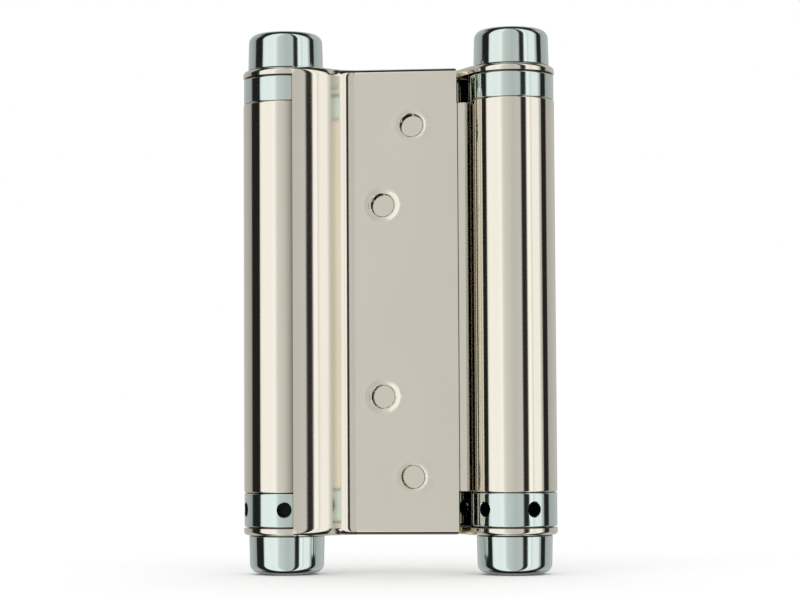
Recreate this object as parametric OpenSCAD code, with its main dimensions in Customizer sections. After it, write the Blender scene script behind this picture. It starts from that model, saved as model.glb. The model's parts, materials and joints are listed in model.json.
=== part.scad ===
// Double action spring hinge for a cafe door, closed.
// Z runs along the two barrels and the origin is midway between them, at half height.
// The jamb leaf lies in front, towards -Y, and the door leaf is the same pressing behind.

/* [Leaves] */
// Height of a leaf over its two ears
leaf_h = 100; // [90:1:130]
// From a barrel's axis to the free edge of its leaf
leaf_reach = 37.4; // [35:0.1:39]
// Thickness of the steel sheet of the leaves and the web
sheet_t = 1.5; // [1.2:0.1:1.7]
// From the plane of the two axes to the outer face of a leaf
leaf_face = 3.3; // [3.1:0.1:3.8]
// Inner radius of the folds along the top and bottom edges
fold_r = 0.3; // [0.2:0.05:0.6]
// Straight end of the folded lips, past their bend
lip_end = 0.4; // [0.3:0.1:0.6]
// Radius of a leaf's two free corners
corner_r = 0.8; // [0.4:0.1:2]
// Gap that a leaf's free edge keeps to the other leaf's shroud as they swing
edge_gap = 0.55; // [0.4:0.05:3]

/* [Shroud] */
// Gap between a barrel and the free edge of the shroud that covers its seam
shroud_gap = 0.4; // [0.3:0.05:0.6]
// Outer radius of the shroud
shroud_r = 12; // [11.5:0.1:12.6]
// How far the shroud's centre stands off the barrel's axis, towards the flat of the leaf
shroud_shift = 1.65; // [1.2:0.05:2]
// Angle from the front to the free edge of the shroud
shroud_from = 6; // [2:1:10]
// Angle from the front to where the shroud runs into the slope
shroud_to = 49; // [45:1:52]
// Radius of the bend between the shroud and the flat of the leaf
shroud_bend = 4.1; // [3:0.1:4.6]

/* [Ears] */
// How far an ear stands out past the barrel
ear_proud = 0.05; // [0:0.05:0.5]
// Radius of the pressed edge on the outside of an ear
ear_edge = 0.8; // [0.4:0.1:1.1]
// Angle from the back to the end of an ear's round outline
ear_cut = 59; // [55:1:65]

/* [Barrels] */
// Outer radius of a barrel
barrel_r = 9.15; // [8.8:0.05:9.4]
// Inner radius of the bend where the web turns into a barrel
web_bend = 1; // [0.7:0.1:1.3]
// Gap between the web and the rolled end of a barrel
seam_gap = 0.3; // [0.2:0.05:0.6]
// Chamfer on the ends of a barrel
barrel_chamfer = 0.2; // [0.1:0.05:0.4]

/* [Spindles] */
// Clearance between a spindle and the coil around it
spindle_gap = 1; // [0.7:0.05:1.5]
// How far a spindle reaches into each cap
spindle_grip = 5; // [4:0.25:6]
// Chamfer on the ends of the spindles
spindle_chamfer = 0.5; // [0.3:0.1:0.8]

/* [Caps] */
// How much smaller a cap is than the barrel, on the radius
cap_inset = 1.05; // [0.5:0.05:1.5]
// Height of a cap
cap_h = 8.45; // [7.5:0.05:10]
// How much narrower a cap's side is at the rim, on the radius
cap_taper = 0.15; // [0:0.05:0.4]
// Radius of a cap's rounded rim
cap_rim = 1.9; // [1.2:0.1:2.4]
// Rise of a cap's domed end
cap_dome = 0.35; // [0.2:0.05:0.6]
// Chamfer around the foot of a cap
cap_foot = 0.3; // [0.1:0.05:0.5]

/* [Ferrules and collars] */
// Height of a ferrule's visible ring
ferrule_h = 5.4; // [4:0.1:7]
// How much smaller a ferrule is than the barrel, on the radius
ferrule_inset = 0.1; // [0:0.05:0.3]
// Height of a tension collar's visible ring
collar_h = 7.2; // [6.5:0.1:9]
// How much smaller a collar is than the barrel, on the radius
collar_inset = 0.05; // [0:0.05:0.3]
// Chamfer on the edges of the rings
ring_chamfer = 0.2; // [0.1:0.05:0.4]
// Length of the spigots that centre the rings in the barrel
spigot_l = 6; // [5.5:0.5:9]
// Chamfer on the inner end of a spigot
spigot_chamfer = 0.5; // [0.3:0.1:0.8]
// Radius of the tommy bar holes
tommy_r = 1.55; // [1.3:0.05:1.8]
// Depth of the tommy bar holes
tommy_depth = 4; // [3:0.25:4.5]
// Height of the tommy bar holes above the foot of the collar
tommy_z = 3.7; // [3.2:0.1:4]
// Number of tommy bar holes around a collar
tommy_count = 5; // [4:1:6]
// Where a hole of the left collar stands, from the front
left_collar_turn = 4.5; // [0:0.5:12]
// Where a hole of the right collar stands, from the front
right_collar_turn = 30.8; // [24:0.2:40]

/* [Washers] */
// Thickness of the washers between the ears and the rings
washer_t = 0.25; // [0.2:0.05:0.4]
// How much smaller a washer is than the barrel, on the radius
washer_inset = 0.95; // [0.5:0.05:2]

/* [Springs] */
// Radius of the spring wire
wire_r = 1.1; // [0.9:0.05:1.2]
// Clearance between the coil and the barrel
coil_gap = 0.95; // [0.7:0.05:1.2]
// Gap between one turn and the next, at least
turn_gap = 0.1; // [0.05:0.05:0.5]
// Length of the straight ends that hold in the rings
tang_l = 4; // [3:0.25:4.5]

/* [Screw holes] */
// Distance between the two outer screw holes of a leaf
outer_pair = 75.4; // [70:0.2:80]
// Distance between the two inner screw holes of a leaf
inner_pair = 41.1; // [36:0.1:46]
// From the free edge to the outer screw holes
outer_in = 9.8; // [8:0.1:11]
// From the free edge to the inner screw holes
inner_in = 16.1; // [14:0.1:16.8]
// Radius of the screw holes
hole_r = 2.45; // [2.2:0.05:2.6]
// Radius of the countersinks at the inner face of the leaf
sink_r = 3.9; // [3.5:0.1:4.1]
// Height of the raised dimple around a hole
dimple_h = 0.6; // [0.5:0.05:0.8]
// Radius of the hollow around the dimple's foot
dimple_foot = 3; // [2:0.1:3.5]
// Width of the flat ring on the dimple's top
dimple_land = 0.1; // [0.05:0.05:0.3]
// Radius of the rounded edges of that ring, the hole's mouth among them
mouth_r = 0.3; // [0.2:0.05:0.4]

/* [Fits] */
// Radial clearance of what turns on a spindle
run_gap = 0.05; // [0.02:0.01:0.1]
// Radial clearance of a collar's spigot in the barrel
collar_gap = 0.1; // [0.05:0.01:0.1]
// Clearance between faces that slide past each other
face_gap = 0.1; // [0.05:0.05:0.2]
// Clearance of a spring's ends in their holes
tang_gap = 0.15; // [0.1:0.05:0.25]

/* [Hidden] */
$fn = 96;
overrun = 0.5; // how far a cut runs past the face that it leaves through
weld = 0.1; // how far a straight or rolled stretch of sheet runs into a bend
bend_step = 0.02; // how far the faces of a bend stand proud of the stretches that run into it

fold_out = fold_r + sheet_t;
lip_w = fold_out + lip_end;
bore_r = barrel_r - sheet_t;
ear_r = barrel_r + ear_proud;
ferrule_r = barrel_r - ferrule_inset;
collar_r = barrel_r - collar_inset;
washer_r = barrel_r - washer_inset;
cap_r = barrel_r - cap_inset;
coil_r = bore_r - coil_gap - wire_r; // to the middle of the wire
spindle_r = coil_r - wire_r - spindle_gap;

// Levels, counted from half height: inner face of the ears, rings, barrel and spring
ear_z = leaf_h/2 - sheet_t;
ring_z = ear_z - washer_t - face_gap/2;
barrel_top = ring_z - ferrule_h;
collar_top = collar_h - ring_z;
barrel_foot = collar_top + face_gap;
coil_top = barrel_top - spigot_l - face_gap;
coil_foot = collar_top + spigot_l + face_gap;

// Two barrels apart, so that a leaf's free edge clears the shroud over the other barrel's front
axis_gap = leaf_reach + edge_gap + barrel_r + shroud_gap + sheet_t;

// Outline of the shroud in plan, around its own barrel's axis: its free edge is nearest to the barrel
shroud_in = shroud_r - sheet_t;
shroud_edge_x = shroud_shift + shroud_in*sin(shroud_from);
shroud_centre = [shroud_shift,
  shroud_in*cos(shroud_from) - sqrt(pow(barrel_r + shroud_gap, 2) - pow(shroud_edge_x, 2))];
slope_start = shroud_centre + shroud_r*[sin(shroud_to), -cos(shroud_to)];
slope_l = (-slope_start.y - leaf_face - shroud_bend*(1 - cos(shroud_to)))/sin(shroud_to);
slope_end = slope_start + slope_l*[cos(shroud_to), sin(shroud_to)];
flat_x = slope_end.x + shroud_bend*sin(shroud_to);
bend_centre = [flat_x, -leaf_face - shroud_bend];

// How the web meets a barrel: the bend touches both the web and the barrel's circle
bend_mid = web_bend + sheet_t/2;
barrel_mid = barrel_r - sheet_t/2;
bend_x = sqrt(pow(barrel_mid + bend_mid, 2) - pow(bend_mid, 2));
bend_turn = asin(bend_mid/(barrel_mid + bend_mid));
weld_turn = asin(weld/barrel_mid);
seam_turn = asin((sheet_t/2 + seam_gap)/barrel_r);

// Spring: as many turns as the barrel has room for
coil_l = coil_top - coil_foot - 2*wire_r;
turns = floor(coil_l/(2*wire_r + turn_gap));
pitch = coil_l/turns;
turn_steps = 14; // stretches of wire in one turn
wire_sides = 7; // flats around the wire

nickel = [0.80, 0.78, 0.71];
zinc = [0.72, 0.78, 0.76];
spring_steel = [0.35, 0.36, 0.38];

function on_circle(r, a) = r*[cos(a), sin(a)];
function arc_points(centre, r, from, to, steps = 8) =
  [for (i = [0:steps]) centre + on_circle(r, from + (to - from)*i/steps)];

module at_left() translate([-axis_gap/2, 0, 0]) children();
module at_right() translate([axis_gap/2, 0, 0]) children();
module both_ends() {
  children();
  mirror([0, 0, 1]) children();
}

// Upright section through a leaf: the sheet with its top and bottom lips folded back.
// X is the depth behind the outer face, and each face stands proud by the value asked for.
module leaf_section(proud = 0) {
  difference() {
    translate([-proud, -leaf_h/2 - proud])
      rounded_end(lip_w + 2*proud, leaf_h + 2*proud, fold_out + proud);
    translate([sheet_t + proud, proud - ear_z])
      rounded_end(lip_w, 2*ear_z - 2*proud, fold_r - proud);
  }
}

// A rectangle whose two corners at X = 0 are rounded
module rounded_end(w, h, r) {
  intersection() {
    square([w, h]);
    union() {
      translate([r, 0]) square([w, h]);
      translate([0, r]) square([w, h - 2*r]);
      for (y = [r, h - r]) translate([r, y]) circle(r);
    }
  }
}

// The section run straight along X from the origin
module run_section(length) {
  translate([-weld, 0, 0]) rotate([90, 0, 90]) linear_extrude(length + 2*weld) leaf_section();
}

// The pressed leaf around its own barrel's axis, its outer face towards -Y
module leaf() {
  difference() {
    union() {
      leaf_sweep();
      both_ends() ear();
      screw_holes() dimple();
    }
    cylinder(h = leaf_h + overrun, r = spindle_r, center = true);
    screw_holes() hole_cut();
  }
}

// Shroud, slope, bend and flat, one after the other, with their lips
module leaf_sweep() {
  translate(shroud_centre) rotate([0, 0, shroud_from - 90])
    rotate_extrude(angle = shroud_to - shroud_from)
      translate([shroud_r, 0]) mirror([1, 0]) leaf_section(bend_step);
  translate(slope_start) rotate([0, 0, shroud_to]) run_section(slope_l);
  translate(bend_centre) rotate([0, 0, 90]) rotate_extrude(angle = shroud_to)
    translate([shroud_bend, 0]) leaf_section(bend_step);
  intersection() {
    translate([flat_x, -leaf_face]) run_section(leaf_reach - flat_x);
    front_outline();
  }
}

// Front view of the flat, with its two rounded free corners
module front_outline() {
  translate([leaf_reach, shroud_r, -leaf_h/2]) rotate([90, 0, 0]) linear_extrude(2*shroud_r)
    mirror([1, 0]) rounded_end(leaf_reach - flat_x + overrun, leaf_h, corner_r);
}

// The upper ear: a round plate on the spindle, and the sheet that joins it to the leaf
module ear() {
  translate([0, 0, ear_z]) {
    rotate_extrude() polygon(concat([[0, 0], [ear_r, 0]],
      arc_points([ear_r - ear_edge, sheet_t - ear_edge], ear_edge, 0, 90), [[0, sheet_t]]));
    linear_extrude(sheet_t) ear_root();
  }
}

// Its front ends on the flat of the lips, and its straight cut edge touches the round plate
module ear_root() {
  seat = fold_out + lip_end/2;
  difference() {
    polygon(concat(
      [shroud_centre],
      arc_points(shroud_centre, shroud_r - seat,
        shroud_from + asin(weld/shroud_r) - 90, shroud_to - 90),
      [slope_end + on_circle(seat, shroud_to + 90),
        [(ear_r + leaf_face*cos(ear_cut))/sin(ear_cut), -leaf_face],
        ear_r*[sin(ear_cut), cos(ear_cut)]]
    ));
    translate(bend_centre) circle(shroud_bend + seat);
  }
}

// Places of the four screw holes, Z pointing out of the leaf's outer face
module screw_holes() {
  for (row = [[outer_in, outer_pair], [inner_in, inner_pair]], side = [-1, 1])
    translate([leaf_reach - row[0], -leaf_face, side*row[1]/2]) rotate([90, 0, 0]) children();
}

// The arc of the hollow foot runs into the arc of the rounded top
module dimple() {
  crest = [hole_r + mouth_r + dimple_land, dimple_h - mouth_r];
  foot_run = sqrt(pow(dimple_foot + mouth_r, 2) - pow(dimple_foot - crest.y, 2));
  foot = [crest.x + foot_run, dimple_foot];
  meet = atan((foot.y - crest.y)/foot_run);
  rotate_extrude() polygon(concat(
    [[0, 0]],
    arc_points(foot, dimple_foot, 270, 180 + meet),
    arc_points(crest, mouth_r, meet, 90),
    [[0, dimple_h]]
  ));
}

// The hole, its rounded mouth and the countersink for the screw's head
module hole_cut() {
  translate([0, 0, -sheet_t - overrun]) cylinder(h = sheet_t + dimple_h + 2*overrun, r = hole_r);
  translate([0, 0, -sheet_t - overrun]) cylinder(h = overrun + sink_r - hole_r,
    r1 = sink_r + overrun, r2 = hole_r);
  rotate_extrude() polygon(concat([[0, dimple_h - mouth_r]],
    arc_points([hole_r + mouth_r, dimple_h - mouth_r], mouth_r, 180, 90),
    [[hole_r + mouth_r, dimple_h + overrun], [0, dimple_h + overrun]]));
}

module jamb_leaf() color(nickel) at_left() leaf();
module door_leaf() color(nickel) rotate([0, 0, 180]) at_left() leaf();

// Sheet bent round an upright axis, from its inner radius, each face proud by the last value
module bent_sheet(inner_r, from, to, proud = 0) {
  rotate([0, 0, from]) rotate_extrude(angle = to - from)
    translate([inner_r - proud, barrel_foot]) square([sheet_t + 2*proud, barrel_top - barrel_foot]);
}

// Half of the web, with the right barrel rolled from it over the front
module web_half() {
  mid = axis_gap/2 - bend_x;
  translate([0, -sheet_t/2, barrel_foot]) cube([mid + weld, sheet_t, barrel_top - barrel_foot]);
  translate([mid, -bend_mid]) bent_sheet(web_bend, bend_turn, 90, bend_step);
  difference() {
    at_right() bent_sheet(bore_r, 180 + bend_turn - weld_turn, 540 - seam_turn);
    at_right() for (end = [[barrel_top, -1], [barrel_foot, 1]]) translate([0, 0, end[0]])
      rotate_extrude() polygon([
        [barrel_r - barrel_chamfer, 0],
        [barrel_r, end[1]*barrel_chamfer],
        [barrel_r + overrun, end[1]*barrel_chamfer],
        [barrel_r + overrun, -end[1]*overrun],
        [barrel_r - barrel_chamfer, -end[1]*overrun]
      ]);
  }
}

module centre_web() color(nickel) {
  web_half();
  rotate([0, 0, 180]) web_half();
}

// A turned ring standing on the XY plane, with a spigot on top and a bore for the spindle
module ring(r, h, spigot_r) {
  rotate_extrude() polygon([
    [spindle_r + run_gap, 0],
    [r - ring_chamfer, 0],
    [r, ring_chamfer],
    [r, h - ring_chamfer],
    [r - ring_chamfer, h],
    [spigot_r, h],
    [spigot_r, h + spigot_l - spigot_chamfer],
    [spigot_r - spigot_chamfer, h + spigot_l],
    [spindle_r + run_gap, h + spigot_l]
  ]);
}

// Hole in the end of a spigot for the straight end of the spring
module tang_hole(h) {
  depth = tang_l - face_gap + tang_gap;
  translate([coil_r, 0, h + spigot_l - depth]) cylinder(h = depth + overrun, r = wire_r + tang_gap);
}

module ferrule() {
  translate([0, 0, ring_z]) mirror([0, 0, 1]) difference() {
    ring(ferrule_r, ferrule_h, bore_r);
    tang_hole(ferrule_h);
  }
}

// The collar turns with the spring's lower end, so its tang hole keeps its place
module collar(turn) {
  translate([0, 0, -ring_z]) difference() {
    ring(collar_r, collar_h, bore_r - collar_gap);
    tang_hole(collar_h);
    for (i = [0:tommy_count - 1]) rotate([0, 0, turn - 90 + i*360/tommy_count])
      translate([collar_r - tommy_depth, 0, tommy_z]) rotate([0, 90, 0])
        cylinder(h = tommy_depth + overrun, r = tommy_r);
  }
}

// Close wound spring: the wire's rings follow a helix, and a straight tang stands at each end.
// A ring is its centre, the way outwards from the axis and the way across the wire.
function coil_ring(i) =
  let (a = 360*i/turn_steps, lead = atan(pitch/(2*PI*coil_r)))
  [[coil_r*cos(a), coil_r*sin(a), coil_foot + wire_r + pitch*i/turn_steps],
    [cos(a), sin(a), 0],
    [sin(a)*sin(lead), -cos(a)*sin(lead), cos(lead)]];

function tang_ring(z, across) = [[coil_r, 0, z], [1, 0, 0], across];

module torsion_spring() {
  rings = concat(
    [tang_ring(coil_foot - tang_l, [0, -1, 0]), tang_ring(coil_foot + wire_r, [0, -1, 1])],
    [for (i = [1:turns*turn_steps - 1]) coil_ring(i)],
    [tang_ring(coil_top - wire_r, [0, -1, 1]), tang_ring(coil_top + tang_l, [0, -1, 0])]
  );
  last = len(rings) - 1;
  polyhedron(
    points = [for (ring = rings, j = [0:wire_sides - 1]) ring[0]
      + wire_r*(cos(360*j/wire_sides)*ring[1] + sin(360*j/wire_sides)*ring[2])],
    faces = concat(
      [[for (j = [0:wire_sides - 1]) j]],
      [for (i = [0:last - 1], j = [0:wire_sides - 1])
        let (k = (j + 1) % wire_sides, a = i*wire_sides, b = a + wire_sides)
        each [[a + j, b + j, b + k], [a + j, b + k, a + k]]],
      [[for (j = [wire_sides - 1:-1:0]) last*wire_sides + j]]
    )
  );
}

module spindle() {
  half = leaf_h/2 + spindle_grip;
  rotate_extrude() polygon([
    [0, -half],
    [spindle_r - spindle_chamfer, -half],
    [spindle_r, spindle_chamfer - half],
    [spindle_r, half - spindle_chamfer],
    [spindle_r - spindle_chamfer, half],
    [0, half]
  ]);
}

// Turned cap for the upper end of a spindle: the rim's arc runs into the flatter arc of the dome
module cap() {
  rim_x = cap_r - cap_taper - cap_rim;
  rim_y = cap_h - cap_dome - cap_rim;
  dome_r = (pow(cap_dome + cap_rim, 2) + pow(rim_x, 2) - pow(cap_rim, 2))/(2*cap_dome);
  meet = acos(rim_x/(dome_r - cap_rim));
  translate([0, 0, leaf_h/2]) difference() {
    rotate_extrude() polygon(concat(
      [[0, 0], [cap_r - cap_foot, 0], [cap_r, cap_foot]],
      arc_points([rim_x, rim_y], cap_rim, 0, meet),
      arc_points([0, cap_h - dome_r], dome_r, meet, 90)
    ));
    translate([0, 0, -overrun]) cylinder(h = spindle_grip + overrun, r = spindle_r);
  }
}

module washer() {
  translate([0, 0, ear_z - washer_t]) difference() {
    cylinder(h = washer_t, r = washer_r);
    translate([0, 0, -overrun]) cylinder(h = washer_t + 2*overrun, r = spindle_r + run_gap);
  }
}

module left_spindle() color(zinc) at_left() spindle();
module left_top_cap() color(zinc) at_left() cap();
module left_bottom_cap() color(zinc) at_left() mirror([0, 0, 1]) cap();
module left_top_washer() color(spring_steel) at_left() washer();
module left_bottom_washer() color(spring_steel) at_left() mirror([0, 0, 1]) washer();
module left_ferrule() color(zinc) at_left() ferrule();
module left_tension_collar() color(zinc) at_left() collar(left_collar_turn);
module left_torsion_spring() color(spring_steel) at_left() torsion_spring();

module right_spindle() color(zinc) at_right() spindle();
module right_top_cap() color(zinc) at_right() cap();
module right_bottom_cap() color(zinc) at_right() mirror([0, 0, 1]) cap();
module right_top_washer() color(spring_steel) at_right() washer();
module right_bottom_washer() color(spring_steel) at_right() mirror([0, 0, 1]) washer();
module right_ferrule() color(zinc) at_right() ferrule();
module right_tension_collar() color(zinc) at_right() collar(right_collar_turn);
module right_torsion_spring() color(spring_steel) at_right() torsion_spring();

jamb_leaf();
door_leaf();
centre_web();
left_spindle();
left_top_cap();
left_bottom_cap();
left_top_washer();
left_bottom_washer();
left_ferrule();
left_tension_collar();
left_torsion_spring();
right_spindle();
right_top_cap();
right_bottom_cap();
right_top_washer();
right_bottom_washer();
right_ferrule();
right_tension_collar();
right_torsion_spring();
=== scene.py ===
# Double action cafe hinge: dressed model, studio and camera
import bpy
import bmesh
import json
import math
from mathutils import Euler, Matrix, Vector


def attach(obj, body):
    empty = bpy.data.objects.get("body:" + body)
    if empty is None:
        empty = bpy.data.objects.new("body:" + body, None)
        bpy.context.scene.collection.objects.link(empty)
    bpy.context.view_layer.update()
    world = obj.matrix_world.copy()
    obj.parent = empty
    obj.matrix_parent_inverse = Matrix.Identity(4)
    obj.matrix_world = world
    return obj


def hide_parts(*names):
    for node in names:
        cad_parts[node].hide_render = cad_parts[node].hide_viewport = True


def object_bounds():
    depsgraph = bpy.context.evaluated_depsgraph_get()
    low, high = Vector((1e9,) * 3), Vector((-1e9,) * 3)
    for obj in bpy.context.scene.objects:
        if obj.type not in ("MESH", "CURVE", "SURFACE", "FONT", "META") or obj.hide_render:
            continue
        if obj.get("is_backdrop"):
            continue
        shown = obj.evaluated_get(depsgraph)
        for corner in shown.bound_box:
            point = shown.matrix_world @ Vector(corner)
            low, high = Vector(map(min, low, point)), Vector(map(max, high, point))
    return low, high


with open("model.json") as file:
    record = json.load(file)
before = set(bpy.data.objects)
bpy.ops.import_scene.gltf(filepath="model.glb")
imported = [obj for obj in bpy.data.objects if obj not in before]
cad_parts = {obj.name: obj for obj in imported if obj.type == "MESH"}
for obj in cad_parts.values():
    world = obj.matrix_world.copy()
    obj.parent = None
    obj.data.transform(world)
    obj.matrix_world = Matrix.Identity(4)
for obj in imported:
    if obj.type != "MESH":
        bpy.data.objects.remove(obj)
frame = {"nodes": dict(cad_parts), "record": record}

record = frame["record"]
bodyOf = {name: body for body, names in record["behaviour"]["bodies"].items() for name in names}
slotOf = {entry["node"]: entry["material_slot"] for entry in record["subparts"]}
bpy.context.scene.view_settings.view_transform = "Standard"
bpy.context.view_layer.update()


def clearSelection():
    if bpy.context.mode != "OBJECT":
        bpy.ops.object.mode_set(mode="OBJECT")
    bpy.ops.object.select_all(action="DESELECT")


# Camera, at the photograph's angle
cameraSetup = {
    "place": (0.0507, -0.5132, -0.0282),
    "yaw": 5.62, "pitch": 3.16, "roll": -0.31,  # degrees
    "lens": 107.96, "sensor": 36, "clip": (0.01, 50),
}


def addCamera(setup):
    turn = Euler((math.radians(90 + setup["pitch"]), 0, math.radians(setup["yaw"]))).to_matrix()
    turn = turn @ Matrix.Rotation(math.radians(setup["roll"]), 3, "Z")
    bpy.ops.object.camera_add(location=setup["place"], rotation=turn.to_euler())
    camera = bpy.context.object
    camera.name = "photoCamera"
    camera.data.lens = setup["lens"]
    camera.data.sensor_width = setup["sensor"]
    camera.data.clip_start, camera.data.clip_end = setup["clip"]
    bpy.context.scene.camera = camera


addCamera(cameraSetup)
print("camera placed")


# Studio: white world, pale floor, two lamps, and a round screen that only the metal mirrors.
# The screen's front has two tall bright boxes between dark flags, with the grey room in the middle.
studioSetup = {
    "worldColour": (1, 1, 1),
    "worldLight": 1.0,
    "floorColour": (0.93, 0.93, 0.93),
    "floorRough": 0.9,
    "floorSize": 8,
    "floorLift": 0.08,  # what only the camera sees, so that the far floor runs into the white
    "lamps": [(-47, 0.5, 0.9), (65, 0.4, 0.9)],  # degrees round the hinge, width and height
    "lampReach": 0.9,
    "lampRise": 0.3,
    "lampLight": 0.4,
    "screenRadius": 0.6,
    "screenSides": (64, 32),
    "ring": [  # degrees round the hinge from the front, and the screen's brightness there
        (-180, 0.42), (-150, 0.55), (-112, 0.44), (-100, 0.36), (-96, 0.018), (-69, 0.015),
        (-66, 0.92), (-58, 1.0), (-38, 0.98), (-25, 1.03), (-19, 0.74), (-12, 0.66),
        (-4, 0.63), (8, 0.56), (28, 0.60), (31, 0.05), (34, 0.018), (43, 0.03),
        (46, 1.03), (54, 1.05), (56, 0.74), (61, 0.97), (79, 0.97), (83, 0.62),
        (87, 0.5), (90, 0.018), (106, 0.018), (109, 0.44), (150, 0.55), (180, 0.42),
    ],
    "roof": [  # degrees up from the front and over to the back, and how dark it is
        (0, 0), (80, 0), (86, 1), (118, 1), (128, 0), (180, 0),
    ],
    "roofFrom": (42, 56),  # degrees of height over which the roof begins
    "roofShade": 0.02,
}


def aroundPlace(angle, reach, height):
    turn = math.radians(angle)
    return Vector((reach * math.sin(turn), -reach * math.cos(turn), height))


def linked(tree, kind, values, **settings):
    node = tree.nodes.new(kind)
    for name, value in settings.items():
        setattr(node, name, value)
    for number, value in enumerate(values):
        if isinstance(value, bpy.types.NodeSocket):
            tree.links.new(value, node.inputs[number])
        else:
            node.inputs[number].default_value = value
    return node.outputs[0]


def fillRamp(ramp, stops):
    for place, shade in stops[1:-1]:
        ramp.elements.new(place)
    for element, (place, shade) in zip(ramp.elements, stops):
        element.position = place
        element.color = (shade, shade, shade, 1)


def screenMaterial(setup):
    material = bpy.data.materials.new("screenShade")
    material.use_nodes = True
    tree = material.node_tree
    tree.nodes.clear()
    coords = tree.nodes.new("ShaderNodeTexCoord")
    split = tree.nodes.new("ShaderNodeSeparateXYZ")
    tree.links.new(coords.outputs["Object"], split.inputs[0])
    front = linked(tree, "ShaderNodeMath", [split.outputs["Y"], -1], operation="MULTIPLY")
    angle = linked(tree, "ShaderNodeMath", [split.outputs["X"], front], operation="ARCTAN2")
    share = linked(tree, "ShaderNodeMath", [angle, 1 / (2 * math.pi), 0.5], operation="MULTIPLY_ADD")
    ramp = tree.nodes.new("ShaderNodeValToRGB")
    tree.links.new(share, ramp.inputs[0])
    fillRamp(ramp.color_ramp, [((degrees + 180) / 360, shade) for degrees, shade in setup["ring"]])

    rise = linked(tree, "ShaderNodeMath", [split.outputs["Z"]], operation="ABSOLUTE")
    pitch = linked(tree, "ShaderNodeMath", [rise, front], operation="ARCTAN2")
    pitchShare = linked(tree, "ShaderNodeMath", [pitch, 1 / math.pi], operation="MULTIPLY")
    roof = tree.nodes.new("ShaderNodeValToRGB")
    tree.links.new(pitchShare, roof.inputs[0])
    fillRamp(roof.color_ramp, [(degrees / 180, dark) for degrees, dark in setup["roof"]])
    height = tree.nodes.new("ShaderNodeMapRange")
    tree.links.new(rise, height.inputs["Value"])
    for name, degrees in zip(("From Min", "From Max"), setup["roofFrom"]):
        height.inputs[name].default_value = setup["screenRadius"] * math.sin(math.radians(degrees))
    dark = linked(tree, "ShaderNodeMath", [roof.outputs[0], height.outputs[0]], operation="MULTIPLY")
    blend = tree.nodes.new("ShaderNodeMix")
    blend.data_type = "RGBA"
    tree.links.new(dark, blend.inputs[0])
    tree.links.new(ramp.outputs[0], blend.inputs[6])
    blend.inputs[7].default_value = (*[setup["roofShade"]] * 3, 1)
    out = tree.nodes.new("ShaderNodeOutputMaterial")
    glow = tree.nodes.new("ShaderNodeEmission")
    tree.links.new(blend.outputs[2], glow.inputs["Color"])
    tree.links.new(glow.outputs[0], out.inputs["Surface"])
    return material


def addScreen(setup):
    segments, rings = setup["screenSides"]
    clearSelection()
    bpy.ops.mesh.primitive_uv_sphere_add(segments=segments, ring_count=rings,
                                         radius=setup["screenRadius"], location=(0, 0, 0))
    screen = bpy.context.object
    screen.name = "roundScreen"
    bpy.ops.object.shade_smooth()
    screen.data.materials.append(screenMaterial(setup))
    screen.visible_camera = False
    screen.visible_diffuse = False
    screen.visible_shadow = False
    screen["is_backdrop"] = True


def addLamp(name, angle, width, height, setup):
    clearSelection()
    bpy.ops.object.light_add(type="AREA", location=aroundPlace(angle, setup["lampReach"], setup["lampRise"]))
    lamp = bpy.context.object
    lamp.name = name
    lamp.rotation_euler = (-lamp.location).to_track_quat("-Z", "Y").to_euler()
    lamp.data.shape = "RECTANGLE"
    lamp.data.size = width
    lamp.data.size_y = height
    lamp.data.energy = setup["lampLight"] * math.pi * width * height
    lamp.visible_camera = False
    lamp.visible_glossy = False


def addWorld(setup):
    world = bpy.data.worlds.new("studioWorld")
    bpy.context.scene.world = world
    world.use_nodes = True
    tree = world.node_tree
    tree.nodes.clear()
    out = tree.nodes.new("ShaderNodeOutputWorld")
    seen = tree.nodes.new("ShaderNodeBackground")
    seen.inputs["Color"].default_value = (*setup["worldColour"], 1)
    seen.inputs["Strength"].default_value = 1
    light = tree.nodes.new("ShaderNodeBackground")
    light.inputs["Color"].default_value = (*setup["worldColour"], 1)
    light.inputs["Strength"].default_value = setup["worldLight"]
    path = tree.nodes.new("ShaderNodeLightPath")
    seenOrMirrored = [path.outputs["Is Camera Ray"], path.outputs["Is Glossy Ray"]]
    mirrored = linked(tree, "ShaderNodeMath", seenOrMirrored, operation="MAXIMUM")
    through = path.outputs["Is Transmission Ray"]
    direct = linked(tree, "ShaderNodeMath", [mirrored, through], operation="MAXIMUM")
    mix = tree.nodes.new("ShaderNodeMixShader")
    tree.links.new(direct, mix.inputs["Fac"])
    tree.links.new(light.outputs[0], mix.inputs[1])
    tree.links.new(seen.outputs[0], mix.inputs[2])
    tree.links.new(mix.outputs[0], out.inputs["Surface"])


def addFloor(setup):
    low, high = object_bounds()
    clearSelection()
    bpy.ops.mesh.primitive_plane_add(size=setup["floorSize"], location=(0, 0, low.z))
    floor = bpy.context.object
    floor.name = "floor"
    bpy.ops.object.transform_apply(location=True, rotation=True, scale=True)
    material = bpy.data.materials.new("paleFloor")
    material.use_nodes = True
    shader = material.node_tree.nodes["Principled BSDF"]
    shader.inputs["Base Color"].default_value = (*setup["floorColour"], 1)
    shader.inputs["Roughness"].default_value = setup["floorRough"]
    shader.inputs["Specular IOR Level"].default_value = 0
    path = material.node_tree.nodes.new("ShaderNodeLightPath")
    shader.inputs["Emission Strength"].default_value = setup["floorLift"]
    material.node_tree.links.new(path.outputs["Is Camera Ray"], shader.inputs["Emission Color"])
    floor.data.materials.append(material)
    floor.visible_glossy = False  # the screen's lower half shows there instead
    floor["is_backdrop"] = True


addWorld(studioSetup)
addFloor(studioSetup)
addScreen(studioSetup)
for number, (angle, width, height) in enumerate(studioSetup["lamps"]):
    addLamp("softLamp%d" % number, angle, width, height, studioSetup)
print("studio ready")


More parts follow.
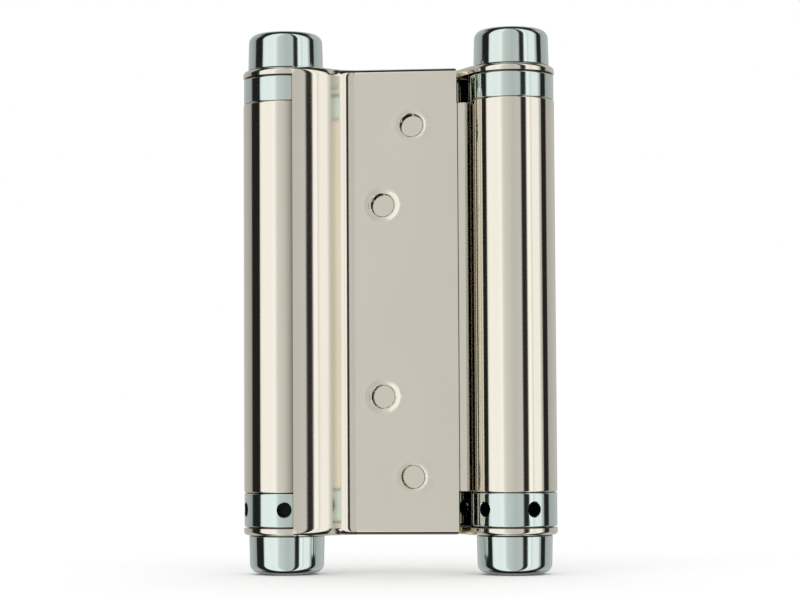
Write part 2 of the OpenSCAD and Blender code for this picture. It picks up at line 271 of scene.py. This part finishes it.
# Effects that the finishes share
effectSetup = {
    "creviceSamples": 8,
    "edgeSamples": 4,
    "edgeFacing": (0.995, 0.85),  # how alike the rounded and the flat normal are, off an edge and on it
    "patches": {"stretch": (1, 1, 0.6), "detail": 3},
    "skin": {"stretch": (1, 1, 1), "detail": 2},
    "lines": {"stretch": (1, 1, 220), "detail": 4},
    "waves": {"stretch": (1, 1, 0.3), "detail": 1},
}


def newEffect(name, takes, gives):
    effect = bpy.data.node_groups.new(name, "ShaderNodeTree")
    for socket, value in takes.items():
        made = effect.interface.new_socket(socket, in_out="INPUT", socket_type="NodeSocketFloat")
        made.default_value = value
    for socket in gives:
        effect.interface.new_socket(socket, in_out="OUTPUT", socket_type="NodeSocketFloat")
    return effect, effect.nodes.new("NodeGroupInput"), effect.nodes.new("NodeGroupOutput")


def noiseAt(tree, scale, stretch, detail):
    coords = tree.nodes.new("ShaderNodeTexCoord")
    mapping = tree.nodes.new("ShaderNodeMapping")
    tree.links.new(coords.outputs["Object"], mapping.inputs["Vector"])
    mapping.inputs["Scale"].default_value = stretch
    noise = tree.nodes.new("ShaderNodeTexNoise")
    tree.links.new(mapping.outputs[0], noise.inputs["Vector"])
    tree.links.new(scale, noise.inputs["Scale"])
    noise.inputs["Detail"].default_value = detail
    return noise.outputs[0]


# Painted shade: a mask from ambient occlusion, by which each finish darkens in gaps, holes and recesses
def creviceEffect(setup):  # 0 in gaps and holes, 1 in the open
    sockets = {"Reach": 0.002, "Closed": 0.2, "Open": 0.8}
    effect, takes, gives = newEffect("creviceShade", sockets, ["Open Air"])
    hollow = effect.nodes.new("ShaderNodeAmbientOcclusion")
    hollow.samples = setup["creviceSamples"]
    effect.links.new(takes.outputs["Reach"], hollow.inputs["Distance"])
    spread = effect.nodes.new("ShaderNodeMapRange")
    effect.links.new(hollow.outputs["AO"], spread.inputs["Value"])
    effect.links.new(takes.outputs["Closed"], spread.inputs["From Min"])
    effect.links.new(takes.outputs["Open"], spread.inputs["From Max"])
    effect.links.new(spread.outputs[0], gives.inputs["Open Air"])
    return effect


def edgeEffect(setup):  # 1 along the edges, where plate is rubbed bright
    effect, takes, gives = newEffect("rubbedEdge", {"Width": 0.0003}, ["Edge"])
    bevel = effect.nodes.new("ShaderNodeBevel")
    bevel.samples = setup["edgeSamples"]
    effect.links.new(takes.outputs["Width"], bevel.inputs["Radius"])
    geometry = effect.nodes.new("ShaderNodeNewGeometry")
    facing = effect.nodes.new("ShaderNodeVectorMath")
    facing.operation = "DOT_PRODUCT"
    effect.links.new(bevel.outputs[0], facing.inputs[0])
    effect.links.new(geometry.outputs["Normal"], facing.inputs[1])
    spread = effect.nodes.new("ShaderNodeMapRange")
    effect.links.new(facing.outputs["Value"], spread.inputs["Value"])
    for name, value in zip(("From Min", "From Max"), setup["edgeFacing"]):
        spread.inputs[name].default_value = value
    effect.links.new(spread.outputs[0], gives.inputs["Edge"])
    return effect


def hazeEffect(setup):  # patches where the polish is duller, and the plate's faint orange peel
    effect, takes, gives = newEffect("polishHaze", {"Patches": 70, "Peel": 2500}, ["Haze", "Skin"])
    effect.links.new(noiseAt(effect, takes.outputs["Patches"], **setup["patches"]), gives.inputs["Haze"])
    effect.links.new(noiseAt(effect, takes.outputs["Peel"], **setup["skin"]), gives.inputs["Skin"])
    return effect


def linesEffect(setup):  # fine lines round a turned or rolled piece
    effect, takes, gives = newEffect("turnedLines", {"Fineness": 30}, ["Lines"])
    effect.links.new(noiseAt(effect, takes.outputs["Fineness"], **setup["lines"]), gives.inputs["Lines"])
    return effect


def wavesEffect(setup):  # slow waves that pressing and rolling leave along the sheet
    effect, takes, gives = newEffect("sheetWaves", {"Length": 30}, ["Waves"])
    effect.links.new(noiseAt(effect, takes.outputs["Length"], **setup["waves"]), gives.inputs["Waves"])
    return effect


effects = {
    "crevice": creviceEffect(effectSetup),
    "edge": edgeEffect(effectSetup),
    "haze": hazeEffect(effectSetup),
    "lines": linesEffect(effectSetup),
    "waves": wavesEffect(effectSetup),
}


# Finishes: "crevice" holds its reach and the openness at which the painted crevice shade ends and clean plate
# begins
finishSetup = {
    "nickelLeaf": {
        "colour": (0.91, 0.87, 0.76), "dull": (0.87, 0.82, 0.70), "paintedShade": (0.24, 0.19, 0.12),
        "rough": (0.07, 0.12), "crevice": (0.0016, 0.05, 0.5), "edgeWidth": 0.00025, "edgeRough": 0.1,
        "waves": 0.00012, "waveLength": 45, "lines": 0, "skin": 0.0000002,
    },
    # Barrels: the painted crevice shade reaches 6 mm, so the barrel darkens where it faces the leaf's free
    # edge and the web
    "nickelBarrel": {
        "colour": (0.91, 0.87, 0.76), "dull": (0.88, 0.83, 0.71), "paintedShade": (0.07, 0.055, 0.03),
        "rough": (0.05, 0.09), "crevice": (0.006, 0.25, 0.85), "edgeWidth": 0.0002, "edgeRough": 0.1,
        "waves": 0.000012, "waveLength": 40, "lines": 0.0000003, "skin": 0.0000001,
    },
    "zincTurned": {
        "colour": (0.76, 0.86, 0.82), "dull": (0.70, 0.80, 0.76), "paintedShade": (0.012, 0.018, 0.016),
        "rough": (0.06, 0.11), "crevice": (0.0018, 0.12, 0.6), "edgeWidth": 0.0002, "edgeRough": 0.08,
        "waves": 0.000006, "waveLength": 60, "lines": 0.0000006, "skin": 0.0000001,
    },
    "plainSteel": {
        "colour": (0.52, 0.53, 0.54), "dull": (0.38, 0.37, 0.35), "paintedShade": (0.03, 0.028, 0.025),
        "rough": (0.26, 0.38), "crevice": (0.001, 0.1, 0.5), "edgeWidth": 0.0001, "edgeRough": 0.1,
        "waves": 0, "waveLength": 60, "lines": 0.000001, "skin": 0.0000005,
    },
    # Painted shade: a near-black finish on the insides of the tommy holes, standing in for the shade in them
    "paintedBoreShade": {
        "colour": (0.05, 0.055, 0.055), "dull": (0.02, 0.024, 0.024), "paintedShade": (0.005, 0.006, 0.006),
        "rough": (0.4, 0.6), "crevice": (0.001, 0.1, 0.6), "edgeWidth": 0.0001, "edgeRough": 0.1,
        "waves": 0, "waveLength": 60, "lines": 0.000001, "skin": 0.000001,
    },
    # The web's flat: a paler painted crevice shade with a shorter reach than the barrels', so the flat seen
    # through the screw holes stays light
    "nickelWeb": {
        "colour": (0.91, 0.87, 0.76), "dull": (0.88, 0.83, 0.71), "paintedShade": (0.2, 0.16, 0.10),
        "rough": (0.06, 0.10), "crevice": (0.002, 0.2, 0.42), "edgeWidth": 0.0002, "edgeRough": 0.1,
        "waves": 0.00002, "waveLength": 40, "lines": 0.0000003, "skin": 0.0000001,
    },
    "springSteel": {
        "colour": (0.30, 0.31, 0.33), "dull": (0.17, 0.17, 0.18), "paintedShade": (0.02, 0.018, 0.015),
        "rough": (0.22, 0.36), "crevice": (0.001, 0.1, 0.5), "edgeWidth": 0.0001, "edgeRough": 0.05,
        "waves": 0, "waveLength": 60, "lines": 0.000001, "skin": 0.000001,
    },
}
slotFinish = {
    "nickel_sheet": "nickelLeaf", "zinc_turned": "zincTurned",
    "plain_steel": "plainSteel", "spring_steel": "springSteel",
}


def place(tree, effect, **values):
    node = tree.nodes.new("ShaderNodeGroup")
    node.node_tree = effects[effect]
    for name, value in values.items():
        node.inputs[name].default_value = value
    return node


def mixed(tree, share, first, second):
    blend = tree.nodes.new("ShaderNodeMix")
    blend.data_type = "RGBA"
    tree.links.new(share, blend.inputs[0])
    for socket, value in ((blend.inputs[6], first), (blend.inputs[7], second)):
        if isinstance(value, bpy.types.NodeSocket):
            tree.links.new(value, socket)
        else:
            socket.default_value = (*value, 1)
    return blend.outputs[2]


def bumped(tree, height, depth, under):
    bump = tree.nodes.new("ShaderNodeBump")
    bump.inputs["Strength"].default_value = 1
    bump.inputs["Distance"].default_value = depth
    tree.links.new(height, bump.inputs["Height"])
    if under:
        tree.links.new(under, bump.inputs["Normal"])
    return bump.outputs[0]


def finishMaterial(name, look):
    material = bpy.data.materials.new(name)
    material.use_nodes = True
    tree = material.node_tree
    shader = tree.nodes["Principled BSDF"]
    shader.inputs["Metallic"].default_value = 1
    haze = place(tree, "haze")
    reach, closed, opened = look["crevice"]
    crevice = place(tree, "crevice", Reach=reach, Closed=closed, Open=opened)
    edge = place(tree, "edge", Width=look["edgeWidth"])
    clean = mixed(tree, haze.outputs["Haze"], look["colour"], look["dull"])
    worn = mixed(tree, edge.outputs["Edge"], clean, look["colour"])
    # Painted shade: where the crevice mask is low, the colour turns to the finish's dark shade colour,
    # darkening gaps, holes and recesses
    colour = mixed(tree, crevice.outputs["Open Air"], look["paintedShade"], worn)
    tree.links.new(colour, shader.inputs["Base Color"])

    low, high = look["rough"]
    hazy = [haze.outputs["Haze"], high - low, low]
    rough = linked(tree, "ShaderNodeMath", hazy, operation="MULTIPLY_ADD")
    rubbed = [edge.outputs["Edge"], look["edgeRough"], rough]
    rough = linked(tree, "ShaderNodeMath", rubbed, operation="MULTIPLY_ADD")
    tree.links.new(rough, shader.inputs["Roughness"])

    normal = None
    if look["waves"]:
        waves = place(tree, "waves", Length=look["waveLength"])
        normal = bumped(tree, waves.outputs["Waves"], look["waves"], normal)
    if look["lines"]:
        normal = bumped(tree, place(tree, "lines").outputs["Lines"], look["lines"], normal)
    normal = bumped(tree, haze.outputs["Skin"], look["skin"], normal)
    tree.links.new(normal, shader.inputs["Normal"])
    return material


def finishOf(node):
    return finishes["nickelBarrel" if node == "centre_web" else slotFinish[slotOf[node]]]


finishes = {name: finishMaterial(name, look) for name, look in finishSetup.items()}
for name in slotOf:
    node = frame["nodes"][name]
    node.data.materials.clear()
    node.data.materials.append(finishOf(name))
print("finishes ready")


# Tools for the pieces. A place or level that differs by less than these counts as the same.
matchSetup = {"level": 1e-7, "place": 1e-6, "weld": 0.000002}


def selectOnly(piece):
    clearSelection()
    piece.select_set(True)
    bpy.context.view_layer.objects.active = piece


def useModifier(piece, kind, **settings):
    selectOnly(piece)
    modifier = piece.modifiers.new("shaping", kind)
    for name, value in settings.items():
        setattr(modifier, name, value)
    bpy.ops.object.modifier_apply(modifier=modifier.name)


def roundEdges(piece, width, steps, angle):
    useModifier(piece, "BEVEL", width=width, segments=steps, limit_method="ANGLE",
                angle_limit=math.radians(angle), use_clamp_overlap=True)


def pickVerts(piece, test):
    mesh = bmesh.from_edit_mesh(piece.data)
    for face in mesh.faces:
        face.select_set(False)
    for edge in mesh.edges:
        edge.select_set(False)
    for vert in mesh.verts:
        vert.select_set(bool(test(vert.co)))
    mesh.select_flush(True)
    bmesh.update_edit_mesh(piece.data)


def openEdit(piece):
    selectOnly(piece)
    bpy.ops.object.mode_set(mode="EDIT")
    bpy.ops.mesh.select_mode(type="VERT")
    bpy.ops.mesh.select_all(action="SELECT")


def tidyMesh(weld=matchSetup["weld"]):
    bpy.ops.mesh.select_all(action="SELECT")
    bpy.ops.mesh.remove_doubles(threshold=weld)
    bpy.ops.mesh.normals_make_consistent(inside=False)
    bpy.ops.object.mode_set(mode="OBJECT")


def copyOf(piece):
    twin = piece.copy()
    twin.data = piece.data.copy()
    bpy.context.scene.collection.objects.link(twin)
    return twin


def dressNode(piece, node, sharpAngle):  # the piece takes the CAD node's place and body
    selectOnly(piece)
    bpy.ops.object.shade_smooth_by_angle(angle=math.radians(sharpAngle))
    useModifier(piece, "WEIGHTED_NORMAL", keep_sharp=True, weight=90)
    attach(piece, bodyOf[node])
    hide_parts(node)


# Screw holes: the sheet around each hole dips towards its mouth, more at the inner holes
holeSetup = {
    "face": 0.0033,  # from the middle of the hinge to the leaf's outer face
    "hole": 0.00245, "mouth": 0.00275, "reach": 0.0052,  # radii
    "places": [  # across, up, the radius at which the dip begins, and its depth
        (0.0031, 0.0377, 0.0033, 0.00010),
        (-0.0032, 0.02055, 0.0039, 0.00030),
    ],
    "dipPower": 1.2,
    "mouthDepth": 0.00022, "mouthPower": 2,
    "sinkTop": 0.0027,  # where the countersink behind begins
    "behind": 0.0003,  # what lies deeper than this behind the face is left alone
    "onFace": 0.00001,  # and what lies deeper than this is the countersink's top
}


def pressHole(piece, side, across, up, foot, depth, setup):
    mesh = bmesh.from_edit_mesh(piece.data)
    middle = Vector((side * across, up))
    for vert in mesh.verts:
        reach, level = (vert.co.xz - middle).length, -side * vert.co.y
        if reach > setup["reach"] or level < setup["face"] - setup["behind"]:
            continue
        if level < setup["face"] - setup["onFace"]:
            vert.co.y = -side * setup["sinkTop"]
            continue
        slope = min(max((foot - reach) / (foot - setup["mouth"]), 0), 1)
        sunk = depth * slope ** setup["dipPower"]
        if reach < setup["mouth"]:
            share = (setup["mouth"] - reach) / (setup["mouth"] - setup["hole"])
            sunk += setup["mouthDepth"] * share ** setup["mouthPower"]
        vert.co.y = -side * (setup["face"] - sunk)
    bmesh.update_edit_mesh(piece.data)


def pressHoles(piece, side, setup):
    openEdit(piece)
    for across, up, foot, depth in setup["places"]:
        for end in (1, -1):
            pressHole(piece, side, across, end * up, foot, depth, setup)
    bpy.ops.object.mode_set(mode="OBJECT")


# Leaves: copies of their solids, merged, pressed at the holes and rubbed round at the edges
leafSetup = {
    "weld": 0.000001,
    "flatAngle": 0.6,  # degrees, below which neighbouring facets join
    "sharpAngle": 28,
    "edge": 0.00012, "edgeSteps": 2,
}


def smoothLeaf(node, side, setup):
    piece = copyOf(frame["nodes"][node])
    piece.name = "smooth_" + node
    openEdit(piece)
    bpy.ops.mesh.remove_doubles(threshold=setup["weld"])
    bpy.ops.mesh.dissolve_limited(angle_limit=math.radians(setup["flatAngle"]))
    bpy.ops.object.mode_set(mode="OBJECT")
    pressHoles(piece, side, holeSetup)
    roundEdges(piece, setup["edge"], setup["edgeSteps"], setup["sharpAngle"])
    dressNode(piece, node, setup["sharpAngle"])


for node, side in (("jamb_leaf", 1), ("door_leaf", -1)):
    smoothLeaf(node, side, leafSetup)
print("leaves ready")


# Turned pieces: a circle is drawn out ring by ring along the profile
turnedSetup = {
    "sides": 144, "edge": 0.0003, "edgeSteps": 4, "edgeAngle": 50, "sharpAngle": 35,
    "drillSides": 48, "overrun": 0.001,  # how far a drill stands out of the metal
}
barrelSetup = {
    "axis": 0.0245, "barrelRadius": 0.00915, "sheet": 0.0015, "top": 0.0428, "foot": -0.0409,
    "bendRadius": 0.00175,  # to the middle of the sheet, where the web turns into a barrel
    "seamTurn": 6.59,  # degrees left open at the seam
    "bendSteps": 14, "rollSteps": 150, "weld": 0.0000005,
    "edge": 0.00035, "edgeSteps": 4, "edgeAngle": 60,
    "flatInset": 0.0015, "flatDepth": 0.0012,  # the flat between the bends has a finish of its own
}


def sideShift(side):
    return -barrelSetup["axis"] if side == "left" else barrelSetup["axis"]


def drawProfile(name, profile, closed, sides):
    radius, height = profile[0]
    clearSelection()
    bpy.ops.mesh.primitive_circle_add(vertices=sides, radius=radius, fill_type="NOTHING",
                                      location=(0, 0, height))
    piece = bpy.context.object
    piece.name = name
    bpy.ops.object.transform_apply(location=True, rotation=True, scale=True)
    openEdit(piece)
    for nextRadius, nextHeight in profile[1:] + (profile[:1] if closed else []):
        bpy.ops.mesh.extrude_region_move(TRANSFORM_OT_translate={"value": (0, 0, nextHeight - height)})
        share = nextRadius / radius
        bpy.ops.transform.resize(value=(share, share, 1), center_override=(0, 0, nextHeight))
        radius, height = nextRadius, nextHeight
    if not closed:
        for end in (profile[0], profile[-1]):
            closeEnd(piece, *end)
    tidyMesh()
    return piece


def closeEnd(piece, radius, height):
    def onRim(at):
        level = abs(at.z - height) < matchSetup["level"]
        return level and abs(at.xy.length - radius) < matchSetup["place"]

    pickVerts(piece, onRim)
    bpy.ops.mesh.edge_face_add()


def drill(piece, radius, depth, middle, direction, mouth=0):
    clearSelection()
    bpy.ops.mesh.primitive_cylinder_add(vertices=turnedSetup["drillSides"], radius=radius, depth=depth,
                                        location=(0, 0, 0))
    cutter = bpy.context.object
    openEdit(cutter)
    if mouth:  # the outer end flares, so that the hole has a countersunk mouth
        overrun = turnedSetup["overrun"]
        pickVerts(cutter, lambda at: at.z > 0)
        bpy.ops.transform.translate(value=(0, 0, -mouth - overrun))
        bpy.ops.mesh.extrude_region_move(TRANSFORM_OT_translate={"value": (0, 0, mouth + overrun)})
        share = (radius + mouth + overrun) / radius
        bpy.ops.transform.resize(value=(share, share, 1), center_override=(0, 0, depth / 2))
    bpy.ops.object.mode_set(mode="OBJECT")
    turn = Vector(direction).to_track_quat("Z", "Y").to_matrix().to_4x4()
    cutter.matrix_world = Matrix.Translation(middle) @ turn
    bpy.context.view_layer.update()
    useModifier(piece, "BOOLEAN", operation="DIFFERENCE", solver="EXACT", object=cutter)
    bpy.data.objects.remove(cutter)


def finishPiece(piece, node, shift=0, flip=False):
    openEdit(piece)
    if flip:
        bpy.ops.transform.resize(value=(1, 1, -1), center_override=(0, 0, 0))
        bpy.ops.mesh.normals_make_consistent(inside=False)
    bpy.ops.transform.translate(value=(shift, 0, 0))
    bpy.ops.object.mode_set(mode="OBJECT")
    piece.name = node + "_dressed"
    piece.data.materials.clear()
    piece.data.materials.append(finishOf(node))
    dressNode(piece, node, turnedSetup["sharpAngle"])


def finishEnds(blank, kind):  # one copy for the top and one for the foot of each barrel
    for side in ("left", "right"):
        for end in ("top", "bottom"):
            finishPiece(copyOf(blank), side + "_" + end + "_" + kind, sideShift(side), end == "bottom")
    bpy.data.objects.remove(blank)


# Caps
capSetup = {
    "foot": 0.05, "radius": 0.0081, "footEdge": 0.0003, "taper": 0.00015, "rim": 0.0019, "dome": 0.00035,
    "height": 0.00845, "bore": 0.0035, "grip": 0.005, "rimSteps": 14, "domeSteps": 6,
    "tip": 0.00025,  # radius of the small face that closes the dome
}


def capProfile(setup):
    foot, radius, rim = setup["foot"], setup["radius"], setup["rim"]
    rimX = radius - setup["taper"] - rim
    rimZ = foot + setup["height"] - setup["dome"] - rim
    domeRadius = ((setup["dome"] + rim) ** 2 + rimX ** 2 - rim ** 2) / (2 * setup["dome"])
    meet = math.acos(rimX / (domeRadius - rim))
    profile = [(setup["bore"], foot + setup["grip"]), (setup["bore"], foot),
               (radius - setup["footEdge"], foot), (radius, foot + setup["footEdge"])]
    for step in range(setup["rimSteps"] + 1):
        turn = meet * step / setup["rimSteps"]
        profile.append((rimX + rim * math.cos(turn), rimZ + rim * math.sin(turn)))
    for step in range(1, setup["domeSteps"] + 1):
        turn = meet + (math.pi / 2 - meet) * step / setup["domeSteps"]
        height = foot + setup["height"] - domeRadius + domeRadius * math.sin(turn)
        profile.append((max(domeRadius * math.cos(turn), setup["tip"]), height))
    return profile


finishEnds(drawProfile("capBlank", capProfile(capSetup), False, turnedSetup["sides"]), "cap")
print("caps ready")


# Rings: a ferrule at the top of each barrel, and a tension collar with tommy holes at its foot
ringSetup = {
    "bore": 0.00355, "ear": 0.0482, "spigot": 0.006,
    "ferrule": {"radius": 0.00905, "height": 0.0054, "spigotRadius": 0.00765},
    "collar": {"radius": 0.0091, "height": 0.0072, "spigotRadius": 0.00755},
    "tang": {"reach": 0.0056, "radius": 0.00125, "depth": 0.00405},
    "tommy": {
        "radius": 0.00155, "mouth": 0.00018, "depth": 0.004, "height": -0.0445, "count": 5,
        "turns": {"left": 4.5, "right": 30.8},  # degrees from the front to the first hole
        "margin": 0.0001,  # by how much a face may lie outside the hole and still be its own
    },
}


def ringProfile(setup, size):
    ear, drop = setup["ear"], setup["ear"] - size["height"]
    return [(setup["bore"], ear), (size["radius"], ear), (size["radius"], drop), (size["spigotRadius"], drop),
            (size["spigotRadius"], drop - setup["spigot"]), (setup["bore"], drop - setup["spigot"])]


def ringBlank(setup, size):
    ring = drawProfile("ringBlank", ringProfile(setup, size), True, turnedSetup["sides"])
    roundEdges(ring, turnedSetup["edge"], turnedSetup["edgeSteps"], turnedSetup["edgeAngle"])
    tang = setup["tang"]
    inner = setup["ear"] - size["height"] - setup["spigot"]
    drill(ring, tang["radius"], 2 * tang["depth"], (tang["reach"], 0, inner), (0, 0, 1))
    return ring


def drillTommyHoles(collar, side, radius, tommy):  # the collar is still upside down here
    length = tommy["depth"] + turnedSetup["overrun"]
    middle = radius - tommy["depth"] + length / 2
    for number in range(tommy["count"]):
        turn = math.radians(tommy["turns"][side] + number * 360 / tommy["count"])
        way = Vector((math.sin(turn), -math.cos(turn), 0))
        spot = way * middle + Vector((0, 0, -tommy["height"]))
        drill(collar, tommy["radius"], length, spot, way, tommy["mouth"])


def paintBoreShade(collar, shift, radius, tommy):  # painted shade: the drilled holes' insides take a near-black finish
    collar.data.materials.append(finishes["paintedBoreShade"])
    nearest, farthest = radius - tommy["depth"] - 2 * tommy["margin"], radius - tommy["margin"]
    for face in collar.data.polygons:
        at = face.center - Vector((shift, 0, tommy["height"]))
        if nearest < at.xy.length < farthest and abs(at.z) < tommy["radius"] + tommy["margin"]:
            face.material_index = 1


def addFerrules(setup):
    blank = ringBlank(setup, setup["ferrule"])
    for side in ("left", "right"):
        finishPiece(copyOf(blank), side + "_ferrule", sideShift(side))
    bpy.data.objects.remove(blank)


def addCollars(setup):
    radius, tommy = setup["collar"]["radius"], setup["tommy"]
    blank = ringBlank(setup, setup["collar"])
    for side in ("left", "right"):
        collar = copyOf(blank)
        drillTommyHoles(collar, side, radius, tommy)
        finishPiece(collar, side + "_tension_collar", sideShift(side), True)
        paintBoreShade(collar, sideShift(side), radius, tommy)
    bpy.data.objects.remove(blank)


addFerrules(ringSetup)
addCollars(ringSetup)
print("rings ready")


# Washers
washerSetup = {
    "radius": 0.0082, "bore": 0.00355, "low": 0.04825, "high": 0.0485,
    "edge": 0.00004, "edgeSteps": 2,
}


def washerBlank(setup):
    profile = [(setup["bore"], setup["low"]), (setup["radius"], setup["low"]),
               (setup["radius"], setup["high"]), (setup["bore"], setup["high"])]
    washer = drawProfile("washerBlank", profile, True, turnedSetup["sides"])
    roundEdges(washer, setup["edge"], setup["edgeSteps"], turnedSetup["edgeAngle"])
    return washer


finishEnds(washerBlank(washerSetup), "washer")
print("washers ready")


# Spindles
spindleSetup = {"radius": 0.0035, "half": 0.055, "edge": 0.0005, "sides": 96}


def spindleProfile(setup):
    radius, half, edge = setup["radius"], setup["half"], setup["edge"]
    return [(radius - edge, -half), (radius, edge - half), (radius, half - edge), (radius - edge, half)]


def addSpindles(setup):
    blank = drawProfile("spindleBlank", spindleProfile(setup), False, setup["sides"])
    for side in ("left", "right"):
        finishPiece(copyOf(blank), side + "_spindle", sideShift(side))
    bpy.data.objects.remove(blank)


addSpindles(spindleSetup)
print("spindles ready")


# Centre web: one sheet, rolled into a barrel at each side
def spinTo(centre, turn, steps):  # a positive turn is anticlockwise, seen from above
    bpy.ops.mesh.spin(steps=steps, angle=-turn, center=centre, axis=(0, 0, 1), dupli=False)


def rollWeb(setup):
    middle = setup["barrelRadius"] - setup["sheet"] / 2
    bend = setup["bendRadius"]
    bendX = math.sqrt((middle + bend) ** 2 - bend ** 2)
    bendTurn = math.asin(bend / (middle + bend))
    rollTurn = 2 * math.pi - math.radians(setup["seamTurn"]) - bendTurn
    reach = setup["axis"] - bendX
    height = (setup["top"] + setup["foot"]) / 2
    same = matchSetup["place"]
    clearSelection()
    bpy.ops.mesh.primitive_plane_add(size=1, location=(0, 0, height), rotation=(math.pi / 2, 0, 0))
    web = bpy.context.object
    web.scale = (2 * reach, setup["top"] - setup["foot"], 1)
    bpy.ops.object.transform_apply(location=True, rotation=True, scale=True)
    openEdit(web)
    for side in (1, -1):
        pickVerts(web, lambda at: abs(at.x - side * reach) < same and abs(at.y) < same)
        spinTo((side * reach, -side * bend, height), -(math.pi / 2 - bendTurn), setup["bendSteps"])
        spinTo((side * setup["axis"], 0, height), rollTurn, setup["rollSteps"])
    tidyMesh()
    useModifier(web, "SOLIDIFY", thickness=setup["sheet"], offset=0, use_even_offset=True)
    openEdit(web)
    tidyMesh(setup["weld"])
    roundEdges(web, setup["edge"], setup["edgeSteps"], setup["edgeAngle"])
    return web


# The flat between the bends takes the nickelWeb finish, whose painted crevice shade is paler than the
# barrels'
def finishFlat(web, setup):
    web.data.materials.append(finishes["nickelWeb"])
    width = setup["axis"] - setup["barrelRadius"] - setup["flatInset"]
    for face in web.data.polygons:
        if abs(face.center.x) < width and abs(face.center.y) < setup["flatDepth"]:
            face.material_index = 1


web = rollWeb(barrelSetup)
finishPiece(web, "centre_web")
finishFlat(web, barrelSetup)
print("web ready")


# Springs: the wire's section is screwed up along the coil, and its ends are drawn out straight
springSetup = {
    "reach": 0.0056, "wire": 0.0011, "turns": 30, "low": -0.0349, "high": 0.0367, "tang": 0.004,
    "sides": 16, "steps": 40, "weld": 0.0000001,
    "sectionShare": 1.01,  # of the wire's radius, within which a point belongs to the end section
    "bendShares": (0.35, 0.65), "bendShare": 0.5, "bendTurn": 45,  # the bend into the straight end
}


def windSpring(setup):
    clearSelection()
    wire, reach = setup["wire"], setup["reach"]
    low, high = setup["low"] + wire, setup["high"] - wire
    bpy.ops.mesh.primitive_circle_add(vertices=setup["sides"], radius=wire, fill_type="NOTHING",
                                      location=(reach, 0, low), rotation=(math.pi / 2, 0, 0))
    spring = bpy.context.object
    spring.name = "springBlank"
    bpy.ops.object.transform_apply(location=True, rotation=True, scale=True)
    useModifier(spring, "SCREW", axis="Z", angle=2 * math.pi, iterations=setup["turns"],
                steps=setup["steps"], render_steps=setup["steps"],
                screw_offset=(high - low) / setup["turns"], use_merge_vertices=False)
    openEdit(spring)
    drawTang(spring, low, -1, setup["low"] - setup["tang"], setup)
    drawTang(spring, high, 1, setup["high"] + setup["tang"], setup)
    tidyMesh(setup["weld"])
    return spring


def drawTang(spring, level, way, end, setup):
    wire, reach = setup["wire"], setup["reach"]

    def inSection(at):
        near = (at.x - reach) ** 2 + (at.z - level) ** 2 < (wire * setup["sectionShare"]) ** 2
        return abs(at.y) < matchSetup["place"] and near

    pickVerts(spring, inSection)
    for share in setup["bendShares"]:
        step = (0, 0, way * wire * setup["bendShare"])
        bpy.ops.mesh.extrude_region_move(TRANSFORM_OT_translate={"value": step})
        bpy.ops.transform.rotate(value=math.radians(setup["bendTurn"]) * way, orient_axis="X",
                                 center_override=(reach, 0, level + way * wire * share))
    bpy.ops.mesh.extrude_region_move(TRANSFORM_OT_translate={"value": (0, 0, end - level - way * wire)})
    bpy.ops.mesh.edge_face_add()


def addSprings(setup):
    blank = windSpring(setup)
    for side in ("left", "right"):
        finishPiece(copyOf(blank), side + "_torsion_spring", sideShift(side))
    bpy.data.objects.remove(blank)


addSprings(springSetup)
print("springs ready")
